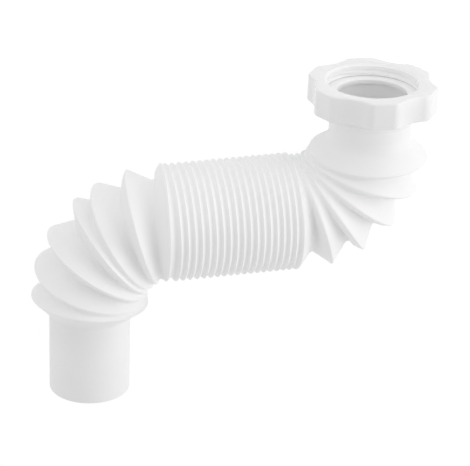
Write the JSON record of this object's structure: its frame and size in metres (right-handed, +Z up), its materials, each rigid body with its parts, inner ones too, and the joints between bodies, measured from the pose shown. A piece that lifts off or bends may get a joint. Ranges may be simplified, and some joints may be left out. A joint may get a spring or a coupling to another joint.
{
  "type": "flexible waste connector hose",
  "caption": "White flexible waste connector: a bellows hose bent into an S, with a plain spigot at one end and a captive lobed coupling nut at the other.",
  "frame": {"origin": "centre of the bounding box, on the surface that the connector lies on", "axes": "+X along the straight run, from the spigot's bend towards the nut's bend; +Y the way the mouth of the nut faces; +Z up from the surface"},
  "size_m": [0.1952, 0.1624, 0.065],
  "materials": {
    "hose": "satin white, as blow moulded",
    "nut": "glossy white, as injection moulded",
    "washer": "pale matte"
  },
  "bodies": {
    "hose_body": {"hose": "hose", "sealing_washer": "washer"},
    "nut_body": {"coupling_nut": "nut"}
  },
  "joints": [
    {"name": "nut_spin", "type": "hinge", "parent": "hose_body", "child": "nut_body", "pos_m": [0.06799, 0.06579, 0.03186], "axis": [0.0176, 0.9974, 0.0706], "continuous": true}
  ]
}
